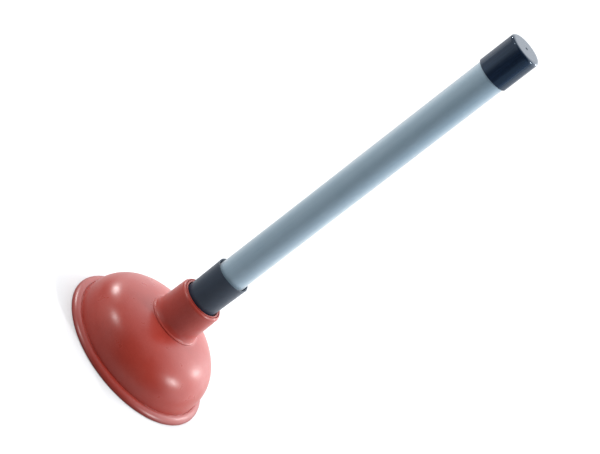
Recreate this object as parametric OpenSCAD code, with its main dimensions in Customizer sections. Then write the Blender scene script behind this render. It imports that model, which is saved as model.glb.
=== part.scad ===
// Toilet plunger: a moulded rubber force cup on a sleeved steel tube handle.
//
// Millimetres, +Z up along the handle. The origin is the centre of the flat ring
// that the cup stands on. The cup is one rubber moulding. A plastic ferrule stands
// in its neck, and the tube stands in the ferrule. A screw inside the cup goes up
// through a washer, the rubber web and the ferrule's floor into a plug in the tube.

/* [Cup] */
// Outside diameter of the lip that seals on the bowl
lip_d = 116.6; // [106:0.2:140]
// Height of the lip's outer edge
lip_edge_h = 1.5; // [1:0.1:2.5]
// Width of the sloping band between the lip's edge and the dome
lip_band_w = 5.7; // [4:0.1:8]
// Height of the dome's foot, at the top of the sloping band
dome_foot_z = 4.4; // [3.5:0.1:6]
// Height of the fold between the dome and the neck
dome_top_z = 36.3; // [33:0.1:48]
// Roundness of the dome, where 2 is an ellipse and more is squarer
dome_power = 2.45; // [2.2:0.05:2.8]
// Thickness of the dome's wall
dome_wall = 4.4; // [3.6:0.1:5]
// Thickness of the web that closes the cup under the neck
web_t = 6; // [5:0.1:7]

/* [Neck] */
// Diameter of the neck's flared foot, at the fold
neck_fold_d = 39.2; // [37:0.1:41]
// Diameter of the neck where the flare of its foot ends
neck_foot_d = 34.4; // [34:0.1:35.4]
// Diameter of the neck just under its shoulder
neck_top_d = 33.4; // [33:0.1:34]
// Height of the flat top of the neck
neck_top_z = 62.5; // [58:0.1:70]
// Radius of the rounded shoulder
shoulder_r = 2.2; // [1:0.1:2.4]

/* [Ferrule] */
// Diameter of the ferrule where it stands in the neck
ferrule_d = 25.2; // [24.8:0.1:25.4]
// Diameter of the ferrule's upper end
ferrule_top_d = 26.1; // [25.4:0.1:27]
// Height of the ferrule's upper end
ferrule_top_z = 90.3; // [80:0.1:110]
// Thickness of the ferrule's floor
ferrule_floor_t = 3; // [2:0.1:5]

/* [Handle] */
// Diameter of the handle over its sleeve
grip_d = 22; // [21:0.1:22.4]
// Thickness of the plastic sleeve
sleeve_t = 0.3; // [0.2:0.05:0.5]
// Wall of the steel tube
tube_wall = 0.5; // [0.4:0.1:1.2]
// Length of the plug in the tube's lower end
plug_l = 25; // [24:1:40]
// Height of the whole plunger
total_h = 335.4; // [300:0.1:600]

/* [Cap] */
// Diameter of the end cap
cap_d = 24; // [23.6:0.1:26]
// Length of the end cap
cap_l = 26.5; // [18:0.1:40]
// Thickness of the end cap's closed end
cap_end_t = 2.5; // [1.5:0.1:4]
// Radius of the end cap's rounded edge
cap_edge_r = 1; // [0.4:0.1:1.4]

/* [Fixing] */
// Diameter of the washer inside the cup
washer_d = 24; // [16:0.5:25]
// Thickness of the washer
washer_t = 1.6; // [1:0.1:2]
// Diameter over the screw's thread
screw_d = 3.5; // [3:0.1:3.5]
// Length of the screw under its head
screw_l = 28; // [24:0.5:30]
// Diameter of the screw's head
screw_head_d = 7; // [6.5:0.1:9]
// Height of the screw's head
screw_head_h = 2.4; // [2.2:0.1:3]

/* [Hidden] */

$fn = 96;
cut = 1;                // how far a cutter runs past the face it opens
fit_gap = 0.02;         // radial gap between pieces that are pressed together
run_gap = 0.3;          // radial gap between the ferrule and the rubber it turns in
hole_gap = 0.2;         // radial gap round the screw's thread

lip_r = lip_d / 2;
lip_round = 0.4;        // rounding of the lip's lower edge
lip_inner_flare = 2.2;  // how far the cavity widens from the dome's foot to the mouth
foot_r = lip_r - lip_band_w;
fold_r = neck_fold_d / 2;

// The web's top is the seat of the ferrule, and the web's underside that of the washer.
web_rise = 1.7;         // height of the web's top over the fold
web_top_z = dome_top_z + web_rise;
ceiling_z = web_top_z - web_t;
ceiling_r = 13.4;       // flat middle of the cup's ceiling
cavity_r = foot_r - dome_wall;
neck_bore_r = ferrule_d / 2 + run_gap;
screw_hole_r = screw_d / 2 + hole_gap;

flare_h = 7;            // height of the flare at the neck's foot
flare_power = 3;        // how late the flare turns outwards
groove_r = 1;           // section of the ring groove on top of the neck
groove_lift = 0.35;     // how far the groove's centre lies above the top
groove_ring_r = neck_bore_r + 1.9;

ferrule_seat_z = web_top_z + ferrule_floor_t;
ferrule_edge = 0.6;     // bevel of the ferrule's upper edge
ferrule_lead = 0.8;     // bevel of the ferrule's lower edge

tube_top_z = total_h - cap_end_t;
tube_r = grip_d / 2 - sleeve_t - fit_gap;
tube_bore_r = tube_r - tube_wall;
grip_bore_r = grip_d / 2 + fit_gap;  // sockets that the sleeved tube is pressed into

cap_r = cap_d / 2;
cap_bottom_z = total_h - cap_l;
gate_r = 1.2;           // shallow mark at the middle of the cap's end
gate_depth = 0.3;

washer_z = ceiling_z - washer_t;
thread_h = 0.35;        // height of the thread's ridges
thread_pitch = 1.3;
screw_core_r = screw_d / 2 - thread_h;
screw_tip = 3;          // length of the screw's point
plug_edge = 1;          // bevel of the plug's upper edge
plug_pilot_r = screw_core_r + 0.05;
slot_w = 0.9;           // arms of the cross recess in the screw's head
slot_l = 4;
slot_depth = 1.4;

// Points on an arc round [x, y], counted in degrees from the +X side.
function arc(x, y, r, from, to, steps) =
    [for (i = [0:steps])
        let (a = from + (to - from) * i / steps)
        [x + r * cos(a), y + r * sin(a)]];

// Angle at which a superellipse with the given half width has come in to end_r.
function end_angle(half_w, end_r) = acos(pow(end_r / half_w, dome_power / 2));

// Height that a superellipse needs to reach end_z at end_r, from the dome's foot.
function full_height(half_w, end_r, end_z) =
    (end_z - dome_foot_z) / pow(sin(end_angle(half_w, end_r)), 2 / dome_power);

// A dome's outline, from its foot up and in to end_r at end_z.
function dome_outline(half_w, end_r, end_z, steps) =
    [for (i = [0:steps])
        let (a = end_angle(half_w, end_r) * i / steps)
        [half_w * pow(cos(a), 2 / dome_power),
         dome_foot_z + full_height(half_w, end_r, end_z) * pow(sin(a), 2 / dome_power)]];

// The neck's flared foot, from the fold up to the straight neck.
function neck_flare(steps) =
    [for (i = [1:steps])
        let (t = i / steps)
        [neck_foot_d / 2 + (fold_r - neck_foot_d / 2) * pow(1 - t, flare_power),
         dome_top_z + flare_h * t]];

// The cup's outside as a solid shape, before it is hollowed.
module cup_outside() {
    rotate_extrude()
        polygon(concat(
            [[0, 0]],
            arc(lip_r - lip_round, lip_round, lip_round, -90, 0, 4),
            [[lip_r, lip_edge_h]],
            dome_outline(foot_r, fold_r, dome_top_z, 16),
            neck_flare(8),
            arc(neck_top_d / 2 - shoulder_r, neck_top_z - shoulder_r, shoulder_r, 0, 90, 6),
            [[0, neck_top_z]]
        ));
}

// The hollow that traps the air: flared mouth, domed wall and flat ceiling.
module cup_cavity() {
    rotate_extrude()
        polygon(concat(
            [[0, -cut], [cavity_r + lip_inner_flare, -cut], [cavity_r + lip_inner_flare, 0]],
            dome_outline(cavity_r, ceiling_r, ceiling_z, 14),
            [[0, ceiling_z]]
        ));
}

// Socket of the neck, with the ring groove that leaves a raised lip round its mouth.
module neck_socket() {
    translate([0, 0, web_top_z])
        cylinder(r = neck_bore_r, h = neck_top_z - web_top_z + cut);
    rotate_extrude()
        translate([groove_ring_r, neck_top_z + groove_lift])
            circle(groove_r);
}

module rubber_cup() {
    color([0.62, 0.27, 0.23])
        difference() {
            cup_outside();
            cup_cavity();
            neck_socket();
            translate([0, 0, ceiling_z - cut])
                cylinder(r = screw_hole_r, h = web_t + 2 * cut);
        }
}

module ferrule() {
    r = ferrule_d / 2;
    top_r = ferrule_top_d / 2;
    color([0.18, 0.21, 0.26])
        difference() {
            rotate_extrude()
                polygon([
                    [0, web_top_z],
                    [r - ferrule_lead, web_top_z],
                    [r, web_top_z + ferrule_lead],
                    [r, neck_top_z],
                    [top_r, ferrule_top_z - ferrule_edge],
                    [top_r - ferrule_edge, ferrule_top_z],
                    [0, ferrule_top_z]
                ]);
            translate([0, 0, ferrule_seat_z])
                cylinder(r = grip_bore_r, h = ferrule_top_z - ferrule_seat_z + cut);
            translate([0, 0, web_top_z - cut])
                cylinder(r = screw_hole_r, h = ferrule_floor_t + 2 * cut);
        }
}

// A straight pipe between two heights.
module pipe(outer_r, bore_r, from_z, to_z) {
    translate([0, 0, from_z])
        difference() {
            cylinder(r = outer_r, h = to_z - from_z);
            translate([0, 0, -cut])
                cylinder(r = bore_r, h = to_z - from_z + 2 * cut);
        }
}

module handle_tube() {
    color([0.72, 0.73, 0.75])
        pipe(tube_r, tube_bore_r, ferrule_seat_z, tube_top_z);
}

module tube_sleeve() {
    color([0.45, 0.54, 0.61])
        pipe(grip_d / 2, tube_r + fit_gap, ferrule_seat_z, tube_top_z);
}

module tube_plug() {
    r = tube_bore_r - fit_gap;
    color([0.85, 0.83, 0.78])
        translate([0, 0, ferrule_seat_z])
            difference() {
                union() {
                    cylinder(r = r, h = plug_l - plug_edge);
                    translate([0, 0, plug_l - plug_edge])
                        cylinder(r1 = r, r2 = r - plug_edge, h = plug_edge);
                }
                translate([0, 0, -cut])
                    cylinder(r = plug_pilot_r, h = plug_l + 2 * cut);
            }
}

module end_cap() {
    color([0.09, 0.11, 0.16])
        difference() {
            rotate_extrude()
                polygon(concat(
                    [[0, cap_bottom_z], [cap_r, cap_bottom_z]],
                    arc(cap_r - cap_edge_r, total_h - cap_edge_r, cap_edge_r, 0, 90, 6),
                    [[0, total_h]]
                ));
            translate([0, 0, cap_bottom_z - cut])
                cylinder(r = grip_bore_r, h = tube_top_z - cap_bottom_z + cut);
            translate([0, 0, total_h - gate_depth])
                cylinder(r = gate_r, h = gate_depth + cut);
        }
}

// Pan head with a cross recess, a core and a row of thread ridges up to a point.
module retaining_screw() {
    head_z = washer_z - screw_head_h;
    tip_z = washer_z + screw_l;
    color([0.78, 0.78, 0.76]) {
        difference() {
            translate([0, 0, head_z])
                intersection() {
                    cylinder(d = screw_head_d, h = screw_head_h);
                    translate([0, 0, screw_head_d])
                        sphere(r = screw_head_d);
                }
            for (turn = [0, 90])
                rotate([0, 0, turn])
                    translate([-slot_l / 2, -slot_w / 2, head_z - cut])
                        cube([slot_l, slot_w, slot_depth + cut]);
        }
        rotate_extrude()
            polygon(concat(
                [[0, washer_z - cut], [screw_core_r, washer_z - cut]],
                [for (z = [washer_z + thread_pitch : thread_pitch : tip_z - screw_tip])
                    each [[screw_core_r, z - thread_h], [screw_d / 2, z], [screw_core_r, z + thread_h]]],
                [[screw_core_r, tip_z - screw_tip + thread_h], [0, tip_z]]
            ));
    }
}

module retaining_washer() {
    color([0.70, 0.71, 0.72])
        pipe(washer_d / 2, screw_hole_r, washer_z, ceiling_z);
}

rubber_cup();
ferrule();
handle_tube();
tube_sleeve();
tube_plug();
end_cap();
retaining_screw();
retaining_washer();
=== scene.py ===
"""Toilet plunger: a moulded rubber force cup on a sleeved tube handle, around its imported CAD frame.

Lengths are in metres in the frame and in millimetres in the outlines, which lathe() scales.
The handle is the Z axis, and the plunger stands on the flat ring under its lip at z = 0.
"""
import math

import bmesh
import bpy
from mathutils import Matrix, Vector, noise


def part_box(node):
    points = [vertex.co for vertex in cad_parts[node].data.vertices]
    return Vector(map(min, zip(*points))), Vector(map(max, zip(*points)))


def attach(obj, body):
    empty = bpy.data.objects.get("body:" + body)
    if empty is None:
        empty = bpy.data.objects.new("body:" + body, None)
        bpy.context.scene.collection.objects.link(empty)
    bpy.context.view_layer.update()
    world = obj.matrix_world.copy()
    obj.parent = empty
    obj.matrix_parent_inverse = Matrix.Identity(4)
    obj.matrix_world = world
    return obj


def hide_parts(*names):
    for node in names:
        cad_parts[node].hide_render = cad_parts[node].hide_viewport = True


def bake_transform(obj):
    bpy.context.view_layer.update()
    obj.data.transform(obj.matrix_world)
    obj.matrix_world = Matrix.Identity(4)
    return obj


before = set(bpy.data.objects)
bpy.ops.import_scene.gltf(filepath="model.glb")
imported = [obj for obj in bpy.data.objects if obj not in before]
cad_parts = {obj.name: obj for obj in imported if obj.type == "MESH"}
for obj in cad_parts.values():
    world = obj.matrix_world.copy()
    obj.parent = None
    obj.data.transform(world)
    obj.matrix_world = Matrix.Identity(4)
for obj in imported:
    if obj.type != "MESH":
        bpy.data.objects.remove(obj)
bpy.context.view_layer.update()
scene = bpy.context.scene

MM = 0.001

# ---------------------------------------------------------------- camera

CAMERA_PITCH = 23.48     # degrees that the camera looks down
HANDLE_SLOPE = 37.67     # degrees of the handle above the picture's horizontal
CAMERA_AWAY = 1.346      # metres from the camera to the lip's centre, along the view
CAMERA_UP_HANDLE = 0.1356  # metres from the lip's centre to the view's axis, towards the cap
CAMERA_ASIDE = 0.0016    # metres from the handle's axis to the view's axis, towards +X
LENS = 121.9             # millimetres on the 36 mm sensor


def camera_axes():
    """The camera's right, up and forward directions and its place, with the handle sloping up to
    the right of the picture."""
    pitch = math.radians(CAMERA_PITCH)
    slope = math.radians(HANDLE_SLOPE)
    ahead = Vector((0, math.cos(pitch), -math.sin(pitch)))
    along = Vector((0, math.sin(pitch), math.cos(pitch)))
    across = Vector((1, 0, 0))
    right = along * math.cos(slope) + across * math.sin(slope)
    up = along * math.sin(slope) - across * math.cos(slope)
    place = along * CAMERA_UP_HANDLE + across * CAMERA_ASIDE - ahead * CAMERA_AWAY
    return right, up, ahead, place


def add_camera():
    """The scene's camera, a long lens where camera_axes() puts it."""
    right, up, ahead, place = camera_axes()
    data = bpy.data.cameras.new("camera")
    data.lens = LENS
    data.clip_start = 0.05
    data.clip_end = 50
    camera = bpy.data.objects.new("camera", data)
    scene.collection.objects.link(camera)
    camera.matrix_world = Matrix.Translation(place) @ Matrix((right, up, -ahead)).transposed().to_4x4()
    scene.camera = camera


add_camera()

# ---------------------------------------------------------------- outlines and turned meshes

TURN_STEPS = 240         # faces round a turned piece
ARC_STEP = 15            # degrees between the points of a fillet


def arc_points(centre, radius, start, end, steps):
    """Points on an arc, with its angles in degrees from the +r side."""
    angles = [math.radians(start + (end - start) * i / steps) for i in range(steps + 1)]
    return [(centre[0] + radius * math.cos(a), centre[1] + radius * math.sin(a)) for a in angles]


def rounded(corners):
    """A closed outline from (r, z, fillet radius) corners. Each fillet is an arc with a support
    point past either end, so that smooth shading stays flat beside it."""
    outline = []
    for i, (x, z, radius) in enumerate(corners):
        here = Vector((x, z))
        if not radius:
            outline.append((x, z))
            continue
        back = Vector(corners[i - 1][:2]) - here
        ahead = Vector(corners[(i + 1) % len(corners)][:2]) - here
        half = back.angle(ahead) / 2
        reach = radius / math.tan(half)
        reach = min(reach, 0.49 * back.length, 0.49 * ahead.length)
        radius = reach * math.tan(half)
        centre = here + (back.normalized() + ahead.normalized()).normalized() * radius / math.sin(half)
        start = here + back.normalized() * reach
        end = here + ahead.normalized() * reach
        support = 0.5 * radius
        if back.length > 2.2 * (reach + support):
            outline.append(tuple(start + back.normalized() * support))
        sweep = math.pi - 2 * half
        steps = max(2, round(math.degrees(sweep) / ARC_STEP))
        arm = start - centre
        turn = sweep if (start - centre).cross(end - centre) > 0 else -sweep
        for k in range(steps + 1):
            a = turn * k / steps
            outline.append((
                centre.x + arm.x * math.cos(a) - arm.y * math.sin(a),
                centre.y + arm.x * math.sin(a) + arm.y * math.cos(a),
            ))
        if ahead.length > 2.2 * (reach + support):
            outline.append(tuple(end + ahead.normalized() * support))
    return outline


def lathe(name, outline, steps=TURN_STEPS, shift=None):
    """A closed solid turned from a closed outline of (r, z) points in millimetres.
    shift(point) may move each point a little. Points on the axis become one vertex."""
    mesh = bmesh.new()
    rings = []
    for r, z in outline:
        count = steps if r > 1e-6 else 1
        ring = []
        for k in range(count):
            angle = 2 * math.pi * k / steps
            point = Vector((r * math.cos(angle), r * math.sin(angle), z)) * MM
            if shift:
                point += shift(point)
            ring.append(mesh.verts.new(point))
        rings.append(ring)
    for low, high in zip(rings, rings[1:] + rings[:1]):
        if len(low) == 1 and len(high) == 1:
            continue
        for k in range(steps):
            after = (k + 1) % steps
            places = ((low, k), (low, after), (high, after), (high, k))
            corners = [ring[i % len(ring)] for ring, i in places]
            mesh.faces.new(list(dict.fromkeys(corners)))
    bmesh.ops.recalc_face_normals(mesh, faces=mesh.faces)
    data = bpy.data.meshes.new(name)
    mesh.to_mesh(data)
    mesh.free()
    data.shade_smooth()
    piece = bpy.data.objects.new(name, data)
    scene.collection.objects.link(piece)
    return piece


def box_mm(node):
    """A CAD node's radius and its lowest and highest z, in millimetres."""
    low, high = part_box(node)
    return high.x / MM, low.z / MM, high.z / MM


# ---------------------------------------------------------------- sizes, from the frame

LIP_R, _, NECK_TOP = box_mm("rubber_cup")
FERRULE_R, WEB_TOP, FERRULE_TOP = box_mm("ferrule")
SLEEVE_R, FERRULE_SEAT, TUBE_TOP = box_mm("tube_sleeve")
TUBE_R, _, _ = box_mm("handle_tube")
CAP_R, CAP_BOTTOM, TOTAL_H = box_mm("end_cap")
WASHER_R, WASHER_BOTTOM, CEILING = box_mm("retaining_washer")
SCREW_HEAD_R, SCREW_BOTTOM, SCREW_TIP = box_mm("retaining_screw")

SNUG = 0.02              # room between pieces that are pressed together
LIP_W = 5.7              # from the dome's foot out to the lip's edge
LIP_EDGE_H = 1.5
BAND_POWER = 1.6         # roundness of the band between the lip's edge and the dome
FOOT_R = LIP_R - LIP_W   # dome's foot
FOOT_Z = 4.4
CREASE = 0.5             # depth of the crease at the dome's foot
DOME_POWER = 2.45        # squareness of the dome's section
DOME_WALL = 4.4
CAVITY_R = FOOT_R - DOME_WALL
CEILING_R = 13.4         # flat ring of the cavity's ceiling
MOUTH_FLARE = 2.2        # how far the cavity widens under the lip
FOLD_R = 19.6            # fold between the dome and the neck's flared foot
FOLD_Z = WEB_TOP - 1.7
FLARE_H = 7              # height of the neck's flared foot
FLARE_POWER = 3
NECK_FOOT_R = 17.2
NECK_TOP_R = 16.7
SHOULDER_R = 2.2
GROOVE_R = 14.75         # ring groove on top of the neck, outside the raised inner lip
GROOVE_W = 1
GROOVE_DEPTH = 1.1
FERRULE_NECK_R = 12.6    # where the ferrule stands in the neck
NECK_BORE_R = FERRULE_NECK_R + 0.3  # the ferrule turns in it
BORE_FLARE = 0.35        # how far the bore widens at its mouth
BORE_FLARE_H = 5
SCREW_HOLE_R = 1.95
GRIP_BORE_R = SLEEVE_R + SNUG
RIM_BEVEL = 2            # depth of the ferrule's bevelled mouth
CAP_EDGE = 1.9           # radius of the edge of the cap's end
WAVE_H = 0.09            # largest waviness of the rubber
WAVES_PER_M = 45
WAVE_FADE = 5            # from the lip's edge in to the full waviness
THREAD_H = 0.35
THREAD_PITCH = 1.3
THREAD_SLOPE = 2.6       # steepness of the thread's flanks, in ridge heights per turn
THREAD_GAP = 1           # plain shank under the thread, and plain point over it
RINGS_PER_TURN = 12      # of the shank's mesh
SCREW_TIP_H = 3          # length of the screw's point
SCREW_R = SCREW_HOLE_R - 0.2
RECESS_W, RECESS_L, RECESS_DEPTH = 0.9, 4.0, 1.4  # cross recess in the screw's head
RECESS_TAPER = 0.45      # share of its length that an arm loses towards the recess's bottom


def band_points(steps):
    """The rounded band, from the lip's edge up and in to the crease at the dome's foot."""
    inner = FOOT_R + 0.8
    points = []
    for i in range(steps + 1):
        a = math.radians(90) * i / steps
        r = inner + (LIP_R - inner) * math.cos(a) ** (2 / BAND_POWER)
        z = LIP_EDGE_H - 0.5 + (FOOT_Z - LIP_EDGE_H + 0.4) * math.sin(a) ** (2 / BAND_POWER)
        points.append((r, z))
    return points


def dome_points(half_width, end_r, end_z, steps):
    """A superellipse from the dome's foot up and in to end_r at end_z."""
    last = math.acos((end_r / half_width) ** (DOME_POWER / 2))
    height = (end_z - FOOT_Z) / math.sin(last) ** (2 / DOME_POWER)
    points = []
    for i in range(steps + 1):
        a = last * i / steps
        r = half_width * math.cos(a) ** (2 / DOME_POWER)
        points.append((r, FOOT_Z + height * math.sin(a) ** (2 / DOME_POWER)))
    return points


# ---------------------------------------------------------------- materials


class Nodes:
    """A material's node tree, with short calls for the nodes that the materials share."""

    def __init__(self, name):
        self.material = bpy.data.materials.new(name)
        self.material.use_nodes = True
        self.tree = self.material.node_tree
        self.shader = self.tree.nodes["Principled BSDF"]
        self.coords = self.add("ShaderNodeTexCoord").outputs["Object"]

    def add(self, kind, **values):
        node = self.tree.nodes.new(kind)
        for key, value in values.items():
            setattr(node, key, value)
        return node

    def link(self, source, target):
        self.tree.links.new(source, target)

    def stretched(self, x, y, z):
        """The object's coordinates, scaled along each axis."""
        mapping = self.add("ShaderNodeMapping")
        mapping.inputs["Scale"].default_value = (x, y, z)
        self.link(self.coords, mapping.inputs["Vector"])
        return mapping.outputs["Vector"]

    def height(self):
        """The height up the object, in metres."""
        split = self.add("ShaderNodeSeparateXYZ")
        self.link(self.coords, split.inputs[0])
        return split.outputs["Z"]

    def noise(self, scale, detail=4, roughness=0.55, vector=None):
        node = self.add("ShaderNodeTexNoise")
        node.inputs["Scale"].default_value = scale
        node.inputs["Detail"].default_value = detail
        node.inputs["Roughness"].default_value = roughness
        self.link(vector or self.coords, node.inputs["Vector"])
        return node.outputs["Fac"]

    def ramp(self, value, low, high, to_low=0.0, to_high=1.0):
        """value between low and high, mapped to between to_low and to_high."""
        node = self.add("ShaderNodeMapRange")
        for key, number in zip(("From Min", "From Max", "To Min", "To Max"), (low, high, to_low, to_high)):
            node.inputs[key].default_value = number
        self.link(value, node.inputs["Value"])
        return node.outputs["Result"]

    def mix(self, factor, low, high):
        """A colour between two colours, each a tuple or another node's output."""
        node = self.add("ShaderNodeMix", data_type="RGBA")
        self.link(factor, node.inputs[0])
        for socket, colour in ((node.inputs[6], low), (node.inputs[7], high)):
            if isinstance(colour, tuple):
                socket.default_value = (*colour, 1)
            else:
                self.link(colour, socket)
        return node.outputs[2]

    def maths(self, operation, a, b):
        node = self.add("ShaderNodeMath", operation=operation)
        for socket, value in zip(node.inputs, (a, b)):
            if isinstance(value, (int, float)):
                socket.default_value = value
            else:
                self.link(value, socket)
        return node.outputs[0]

    def bump(self, height, distance, strength, below=None):
        node = self.add("ShaderNodeBump")
        node.inputs["Distance"].default_value = distance
        node.inputs["Strength"].default_value = strength
        self.link(height, node.inputs["Height"])
        if below:
            self.link(below, node.inputs["Normal"])
        return node.outputs["Normal"]

    def set(self, **sockets):
        """Sockets of the shader by name, with spaces written as underscores."""
        for key, value in sockets.items():
            socket = self.shader.inputs[key.replace("_", " ")]
            if isinstance(value, bpy.types.NodeSocket):
                self.link(value, socket)
            else:
                socket.default_value = value
        return self.material


def rubber():
    """Red-brown moulded rubber: mottled, hazed where it has bloomed, with painted shade along the lip's
    foot.
    """
    n = Nodes("cup_rubber")
    broad = n.noise(22, 3)
    fine = n.noise(900, 3, 0.6)
    haze = n.ramp(n.noise(55, 5, 0.6), 0.5, 0.78)
    colour = n.mix(n.ramp(broad, 0.3, 0.7), (0.37, 0.032, 0.020), (0.43, 0.044, 0.028))
    colour = n.mix(n.ramp(fine, 0.35, 0.7, 0, 0.3), colour, (0.48, 0.065, 0.040))
    colour = n.mix(n.maths("MULTIPLY", haze, 0.05), colour, (0.60, 0.28, 0.24))
    # Painted shade: the colour darkens towards the floor along the lip's foot, most at its edge, broken up
    # by the fine noise.
    shade_towards_floor = n.ramp(n.height(), 0.0012, 0.0048, 0.75, 0)
    painted_lip_shade = n.maths("MULTIPLY", shade_towards_floor, n.ramp(fine, 0.2, 0.8, 0.6, 1))
    colour = n.mix(painted_lip_shade, colour, (0.20, 0.022, 0.018))
    rough = n.ramp(n.noise(120, 4), 0.3, 0.7, 0.27, 0.35)
    normal = n.bump(n.noise(1500, 2), 0.00004, 0.5)
    normal = n.bump(n.noise(160, 3), 0.00012, 0.35, normal)
    return n.set(
        Base_Color=colour, Roughness=rough, Normal=normal, IOR=1.5,
        Sheen_Weight=0.07, Sheen_Roughness=0.4, Sheen_Tint=(1, 0.78, 0.75, 1),
    )


def ferrule_plastic():
    """Dark blue-grey moulded plastic with a satin face."""
    n = Nodes("ferrule_plastic")
    colour = n.mix(n.ramp(n.noise(60, 4), 0.3, 0.7), (0.017, 0.030, 0.054), (0.023, 0.040, 0.068))
    rough = n.ramp(n.noise(400, 4), 0.3, 0.7, 0.32, 0.44)
    normal = n.bump(n.noise(2500, 2), 0.00003, 0.5)
    return n.set(
        Base_Color=colour, Roughness=rough, Normal=normal, IOR=1.5,
        Sheen_Weight=0.15, Sheen_Roughness=0.25, Sheen_Tint=(0.85, 0.93, 1, 1),
    )


def sleeve_plastic():
    """Grey-blue satin plastic, finely streaked along the handle."""
    n = Nodes("sleeve_plastic")
    streaks = n.noise(1, 5, 0.6, n.stretched(700, 700, 9))
    mottle = n.noise(70, 4)
    colour = n.mix(n.ramp(mottle, 0.3, 0.7), (0.30, 0.43, 0.53), (0.33, 0.46, 0.56))
    colour = n.mix(n.ramp(streaks, 0.4, 0.75, 0, 0.25), colour, (0.38, 0.49, 0.56))
    rough = n.ramp(streaks, 0.3, 0.7, 0.26, 0.36)
    normal = n.bump(streaks, 0.00003, 0.6)
    return n.set(
        Base_Color=colour, Roughness=rough, Normal=normal, IOR=1.5,
        Sheen_Weight=1.0, Sheen_Roughness=0.45, Sheen_Tint=(1, 0.96, 0.92, 1),
    )


def cap_plastic():
    """Glossy near-black plastic with drawn streaks up its side, which fade out on its flat end."""
    n = Nodes("cap_plastic")
    side = n.ramp(n.height(), (TOTAL_H - CAP_EDGE) * MM, (TOTAL_H - 0.3 * CAP_EDGE) * MM, 1, 0)
    streaks = n.maths("SUBTRACT", n.noise(1, 4, 0.6, n.stretched(420, 420, 14)), 0.5)
    streaks = n.maths("MULTIPLY", streaks, side)
    colour = n.mix(n.ramp(n.noise(50, 4), 0.3, 0.7), (0.003, 0.010, 0.030), (0.006, 0.016, 0.042))
    colour = n.mix(n.ramp(streaks, 0, 0.25), colour, (0.016, 0.035, 0.080))
    rough = n.ramp(streaks, -0.1, 0.2, 0.06, 0.22)
    normal = n.bump(streaks, 0.0002, 0.9)
    return n.set(
        Base_Color=colour, Roughness=rough, Normal=normal, IOR=1.52, Specular_Tint=(0.7, 0.87, 1, 1),
    )


def steel(name, tone, roughness, stretch):
    """Zinc-plated or drawn steel, with fine streaks along the axis that stretch scales least."""
    n = Nodes(name)
    streaks = n.noise(1, 4, 0.6, n.stretched(*stretch))
    patches = n.noise(180, 4)
    dull = tuple(0.8 * c for c in tone)
    colour = n.mix(n.ramp(patches, 0.3, 0.7), dull, tone)
    rough = n.ramp(streaks, 0.3, 0.7, roughness - 0.06, roughness + 0.1)
    return n.set(
        Base_Color=colour, Metallic=1.0, Roughness=rough, Normal=n.bump(streaks, 0.00002, 0.5),
    )


def plug_plastic():
    """Plain straw-coloured plastic."""
    n = Nodes("plug_plastic")
    colour = n.mix(n.ramp(n.noise(90, 4), 0.3, 0.7), (0.60, 0.55, 0.46), (0.70, 0.66, 0.58))
    return n.set(Base_Color=colour, Roughness=n.ramp(n.noise(300, 3), 0.3, 0.7, 0.4, 0.55))


# ---------------------------------------------------------------- pieces


def dress(piece, material, node):
    """Gives a piece its material and hides the CAD node that it stands for."""
    piece.data.materials.append(material)
    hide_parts(node)


def unevenness(point):
    """Slight waviness of moulded rubber, which fades out towards the lip's edge."""
    outward = Vector((point.x, point.y, 0))
    fade = min(1, (LIP_R * MM - outward.length) / (WAVE_FADE * MM))
    return outward.normalized() * noise.noise(point * WAVES_PER_M) * WAVE_H * MM * fade


def cup_outline():
    """The cup's section: ceiling, cavity, lip, dome, fold, neck, grooved rim, bore and web."""
    inside = [(r, z, 0) for r, z in reversed(dome_points(CAVITY_R, CEILING_R, CEILING, 26))]
    band = [(r, z, 0) for r, z in band_points(12)]
    outside = [(r, z, 0) for r, z in dome_points(FOOT_R, FOLD_R + 0.35, FOLD_Z - 0.1, 40)]
    flare = [
        (NECK_FOOT_R + (FOLD_R - NECK_FOOT_R) * (1 - t) ** FLARE_POWER, FOLD_Z + FLARE_H * t, 0)
        for t in (0.14, 0.2, 0.28, 0.38, 0.5, 0.65, 0.82, 1)
    ]
    shoulder_z = NECK_TOP - SHOULDER_R
    shoulder = [
        (r, z, 0) for r, z in arc_points((NECK_TOP_R - SHOULDER_R, shoulder_z), SHOULDER_R, 0, 62, 7)
    ]
    return rounded(
        [(SCREW_HOLE_R, CEILING, 0.2)]
        + inside
        + [(CAVITY_R + MOUTH_FLARE, 0, 0.7), (LIP_R, 0, 0.6)]
        + band
        + [(FOOT_R + 0.1, FOOT_Z - CREASE, 0.2)]
        + outside
        + [(FOLD_R + 0.05, FOLD_Z + 0.05, 0.1), (FOLD_R + 0.3, FOLD_Z + 0.65, 0.25)]
        + flare
        + shoulder
        + [
            (GROOVE_R + GROOVE_W / 2, NECK_TOP - 0.15, 0.2),
            (GROOVE_R, NECK_TOP - GROOVE_DEPTH, 0.15),
            (GROOVE_R - GROOVE_W / 2, NECK_TOP, 0.35),
            (NECK_BORE_R + BORE_FLARE + 0.1, NECK_TOP - 0.1, 0.4),
            (NECK_BORE_R + BORE_FLARE, NECK_TOP - 1.5, 0.4),
            (NECK_BORE_R, NECK_TOP - BORE_FLARE_H, 0.5),
            (NECK_BORE_R, WEB_TOP, 0.3),
            (SCREW_HOLE_R, WEB_TOP, 0.2),
        ]
    )


def add_cup():
    """The rubber cup, turned in one piece, with its lip flat on the bowl and its web flat on the washer."""
    cup = lathe("force_cup", cup_outline(), shift=unevenness)
    dress(cup, rubber(), "rubber_cup")
    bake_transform(cup)


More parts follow.
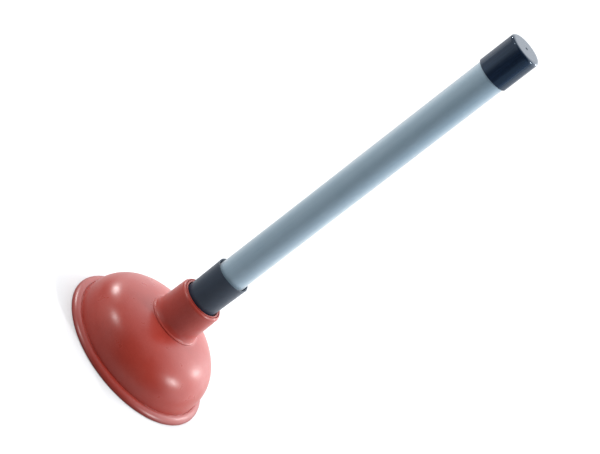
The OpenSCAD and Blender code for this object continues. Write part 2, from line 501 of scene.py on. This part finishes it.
def add_ferrule():
    """The stepped socket, with a bevelled mouth round the sleeve."""
    outline = rounded([
        (SCREW_HOLE_R, WEB_TOP, 0.2),
        (FERRULE_NECK_R, WEB_TOP, 0.8),
        (FERRULE_NECK_R, NECK_TOP, 0),
        (FERRULE_R, FERRULE_TOP, 0.25),
        (FERRULE_R - 0.5, FERRULE_TOP, 0.2),
        (GRIP_BORE_R, FERRULE_TOP - RIM_BEVEL, 0.3),
        (GRIP_BORE_R, FERRULE_SEAT, 0.2),
        (SCREW_HOLE_R, FERRULE_SEAT, 0.2),
    ])
    ferrule = lathe("ferrule_moulding", outline)
    dress(ferrule, ferrule_plastic(), "ferrule")
    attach(ferrule, "handle")


def add_cap():
    """The thimble over the handle's end, with a small moulding mark in the middle."""
    outline = rounded([
        (0, TUBE_TOP, 0),
        (GRIP_BORE_R, TUBE_TOP, 0.3),
        (GRIP_BORE_R, CAP_BOTTOM, 0.25),
        (CAP_R, CAP_BOTTOM, 0.35),
        (CAP_R, TOTAL_H, CAP_EDGE),
        (1.2, TOTAL_H, 0.15),
        (0.9, TOTAL_H - 0.3, 0.1),
        (0, TOTAL_H - 0.3, 0),
    ])
    cap = lathe("cap_moulding", outline)
    dress(cap, cap_plastic(), "end_cap")
    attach(cap, "handle")


def add_sleeve():
    """The plastic skin of the handle, over the steel tube."""
    bore_r = TUBE_R + SNUG
    outline = rounded([
        (bore_r, FERRULE_SEAT, 0.08),
        (SLEEVE_R, FERRULE_SEAT, 0.12),
        (SLEEVE_R, TUBE_TOP, 0.12),
        (bore_r, TUBE_TOP, 0.08),
    ])
    sleeve = lathe("grip_sleeve", outline)
    dress(sleeve, sleeve_plastic(), "tube_sleeve")
    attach(sleeve, "handle")


def add_washer():
    """The broad washer under the cup's web, with a stamping's rounded lower edge."""
    outline = rounded([
        (SCREW_HOLE_R, WASHER_BOTTOM, 0.2),
        (WASHER_R, WASHER_BOTTOM, 0.45),
        (WASHER_R, CEILING, 0.15),
        (SCREW_HOLE_R, CEILING, 0.15),
    ])
    washer = lathe("plated_washer", outline)
    zinc = steel("washer_zinc", (0.66, 0.66, 0.64), 0.34, (900, 900, 60))
    dress(washer, zinc, "retaining_washer")
    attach(washer, "hub")


def thread(point):
    """Moves a point of the screw's shank out onto a helical thread that fades in and out."""
    z = point.z / MM
    turns = z / THREAD_PITCH - math.atan2(point.y, point.x) / (2 * math.pi)
    ridge = max(0, 1 - abs(turns % 1 - 0.5) * THREAD_SLOPE)
    fade_in = min(1, max(0, (z - WASHER_BOTTOM - THREAD_GAP) / THREAD_PITCH))
    fade_out = min(1, max(0, (SCREW_TIP - THREAD_GAP - z) / SCREW_TIP_H))
    outward = Vector((point.x, point.y, 0)).normalized()
    return outward * ridge * fade_in * fade_out * THREAD_H * MM


def cut_recess(piece, turn):
    """Cuts one tapered arm of the cross recess into the underside of the screw's head."""
    mesh = bmesh.new()
    bmesh.ops.create_cube(mesh, size=1)
    depth = 2 * RECESS_DEPTH
    for v in mesh.verts:
        taper = 1 - RECESS_TAPER if v.co.z > 0 else 1 + RECESS_TAPER
        place = Vector((v.co.x * RECESS_L * taper, v.co.y * RECESS_W, v.co.z * depth))
        v.co = (place + Vector((0, 0, SCREW_BOTTOM))) * MM
    data = bpy.data.meshes.new("recess_arm")
    mesh.to_mesh(data)
    mesh.free()
    arm = bpy.data.objects.new("recess_arm", data)
    scene.collection.objects.link(arm)
    arm.rotation_euler.z = math.radians(turn)
    cut = piece.modifiers.new("recess", "BOOLEAN")
    cut.object = arm
    cut.solver = "EXACT"
    bpy.context.view_layer.update()
    result = bpy.data.meshes.new_from_object(piece.evaluated_get(bpy.context.evaluated_depsgraph_get()))
    piece.modifiers.clear()
    piece.data = result
    bpy.data.objects.remove(arm)


def add_screw():
    """A pan head with a cross recess, under a shank with a helical thread and a point."""
    core_r = SCREW_R - THREAD_H
    rings = RINGS_PER_TURN * round((SCREW_TIP - WASHER_BOTTOM) / THREAD_PITCH)
    shank_bottom = WASHER_BOTTOM + 0.4
    shank_top = SCREW_TIP - SCREW_TIP_H
    shank = [
        (core_r, shank_bottom + (shank_top - shank_bottom) * i / rings, 0) for i in range(rings + 1)
    ]
    point = [(core_r * (1 - t * t), shank_top + SCREW_TIP_H * t, 0) for t in (0.25, 0.5, 0.75)]
    outline = rounded(
        [
            (0, SCREW_BOTTOM, 0),
            (0.75 * SCREW_HEAD_R, SCREW_BOTTOM + 0.12, 1.0),
            (SCREW_HEAD_R, SCREW_BOTTOM + 1.3, 0.7),
            (SCREW_HEAD_R, WASHER_BOTTOM, 0.15),
            (core_r + 0.3, WASHER_BOTTOM, 0.1),
        ]
        + shank
        + point
        + [(0, SCREW_TIP, 0)]
    )
    screw = lathe("pan_head_screw", outline, steps=48, shift=thread)
    for turn in (0, 90):
        cut_recess(screw, turn)
    zinc = steel("screw_zinc", (0.70, 0.70, 0.66), 0.32, (300, 300, 300))
    dress(screw, zinc, "retaining_screw")
    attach(screw, "handle")


def paint_cad_nodes():
    """Materials for the two CAD nodes whose shape is already right."""
    materials = {
        "handle_tube": steel("drawn_steel", (0.62, 0.63, 0.65), 0.3, (900, 900, 8)),
        "tube_plug": plug_plastic(),
    }
    for node, material in materials.items():
        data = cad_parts[node].data
        data.materials.clear()
        data.materials.append(material)


add_cup()
add_ferrule()
add_sleeve()
add_cap()
add_washer()
add_screw()
paint_cad_nodes()

# ---------------------------------------------------------------- stage and light

FLOOR_R = 0.5
FLOOR_TONE = 0.87        # paper as the camera sees it
FLOOR_PAINTED_FILL = (0.22, 0.90)  # paper as it lights the plunger, painted dark on one side and light on the other
FLOOR_PAINTED_LIT_SIDE = 140     # azimuth of the painted lit side
FLOOR_BLEND = 0.2        # metres from the middle to the full painted dark and lit tones
BACKDROP = 1.2           # what the camera sees past the floor, a little over white
STUDIO_DARK = 0.12       # radiance of the unlit studio

NEUTRAL = (1.0, 1.0, 1.0)
COOL = (0.95, 1.0, 1.05)
SKY = (0.75, 0.97, 1.20)

# Soft walls of the studio: azimuth, elevation, degrees to the full and the faded edge, radiance
# and tint. Azimuth 0 is the camera's side, and 90 is its right with the handle upright.
WALLS = (
    (120, 22, 8, 54, 2.2, COOL),
    (-108, 40, 10, 50, 0.45, NEUTRAL),
    (180, 20, 15, 58, 1.65, COOL),
    (180, 66, 12, 48, 0.7, COOL),
    (-65, 5, 10, 55, 0.8, NEUTRAL),
    (75, -22, 10, 50, 0.45, SKY),
    (-120, -42, 12, 40, 1.8, NEUTRAL),
)

# Small lamps: name, azimuth, elevation, diameter in metres and power in watts
LAMPS = (
    ("lamp_left_back", -124, 24, 0.09, 3.6),
    ("lamp_left_front", -72, 41, 0.10, 2.6),
    ("lamp_right_front", 92, 38, 0.11, 4.4),
    ("lamp_right_back", 144, 27, 0.14, 1.6),
)
LAMP_AWAY = 1.2          # metres from the cup


def direction(azimuth, elevation):
    """A unit vector from the plunger towards a place in the studio."""
    a, e = math.radians(azimuth), math.radians(elevation)
    return Vector((math.sin(a) * math.cos(e), -math.cos(a) * math.cos(e), math.sin(e)))


def add_floor():
    """A round sheet of white paper: even for the camera, with painted light and shade for the rest."""
    bpy.ops.mesh.primitive_circle_add(vertices=128, radius=FLOOR_R, fill_type="NGON")
    floor = bpy.context.object
    floor.name = "floor"
    n = Nodes("floor_paper")
    place = n.add("ShaderNodeVectorMath", operation="DOT_PRODUCT")
    place.inputs[1].default_value = direction(FLOOR_PAINTED_LIT_SIDE, 0)
    n.link(n.coords, place.inputs[0])
    # Painted light and shade: the paper's colour grades from its dark side to its lit side.
    dark, lit = ((tone,) * 3 for tone in FLOOR_PAINTED_FILL)
    painted_fill = n.mix(n.ramp(place.outputs["Value"], -FLOOR_BLEND, FLOOR_BLEND), dark, lit)
    seen = n.add("ShaderNodeLightPath").outputs["Is Camera Ray"]
    colour = n.mix(seen, painted_fill, (FLOOR_TONE,) * 3)
    floor.data.materials.append(n.set(Base_Color=colour, Roughness=0.9))


def add_wall(tree, towards, total, azimuth, elevation, full, faded, radiance, tint):
    """Adds one soft wall's light in the direction towards to the sum total of the walls before it."""
    near = tree.nodes.new("ShaderNodeVectorMath")
    near.operation = "DOT_PRODUCT"
    near.inputs[1].default_value = direction(azimuth, elevation)
    tree.links.new(towards, near.inputs[0])
    fade = tree.nodes.new("ShaderNodeMapRange")
    fade.interpolation_type = "SMOOTHSTEP"
    fade.inputs["From Min"].default_value = math.cos(math.radians(faded))
    fade.inputs["From Max"].default_value = math.cos(math.radians(full))
    tree.links.new(near.outputs["Value"], fade.inputs["Value"])
    add = tree.nodes.new("ShaderNodeVectorMath")
    add.operation = "MULTIPLY_ADD"
    tree.links.new(fade.outputs["Result"], add.inputs[0])
    add.inputs[1].default_value = radiance * Vector(tint)
    tree.links.new(total, add.inputs[2])
    return add.outputs[0]


def add_world():
    """A dark studio with soft white walls. What the camera sees past the floor is white."""
    world = bpy.data.worlds.new("studio")
    scene.world = world
    world.use_nodes = True
    tree = world.node_tree
    tree.nodes.clear()
    towards = tree.nodes.new("ShaderNodeTexCoord").outputs["Generated"]
    dark = tree.nodes.new("ShaderNodeCombineXYZ")
    for socket in dark.inputs:
        socket.default_value = STUDIO_DARK
    total = dark.outputs[0]
    for wall in WALLS:
        total = add_wall(tree, towards, total, *wall)
    seen = tree.nodes.new("ShaderNodeMix")
    seen.data_type = "VECTOR"
    seen.inputs[5].default_value = (BACKDROP,) * 3
    tree.links.new(tree.nodes.new("ShaderNodeLightPath").outputs["Is Camera Ray"], seen.inputs[0])
    tree.links.new(total, seen.inputs[4])
    background = tree.nodes.new("ShaderNodeBackground")
    tree.links.new(seen.outputs[1], background.inputs["Color"])
    output = tree.nodes.new("ShaderNodeOutputWorld")
    tree.links.new(background.outputs[0], output.inputs["Surface"])


def add_lamp(name, azimuth, elevation, size, power):
    """A small soft lamp that is aimed at the cup, for a glint on the dome."""
    away = direction(azimuth, elevation)
    data = bpy.data.lights.new(name, "AREA")
    data.shape = "DISK"
    data.size = size
    data.energy = power
    lamp = bpy.data.objects.new(name, data)
    scene.collection.objects.link(lamp)
    lamp.location = Vector((0, 0, 0.5 * FOLD_Z * MM)) + away * LAMP_AWAY
    lamp.rotation_mode = "QUATERNION"
    lamp.rotation_quaternion = away.to_track_quat("Z", "Y")
    lamp.visible_camera = False


add_floor()
add_world()
for lamp in LAMPS:
    add_lamp(*lamp)

scene.view_settings.view_transform = "Standard"
scene.view_settings.look = "None"
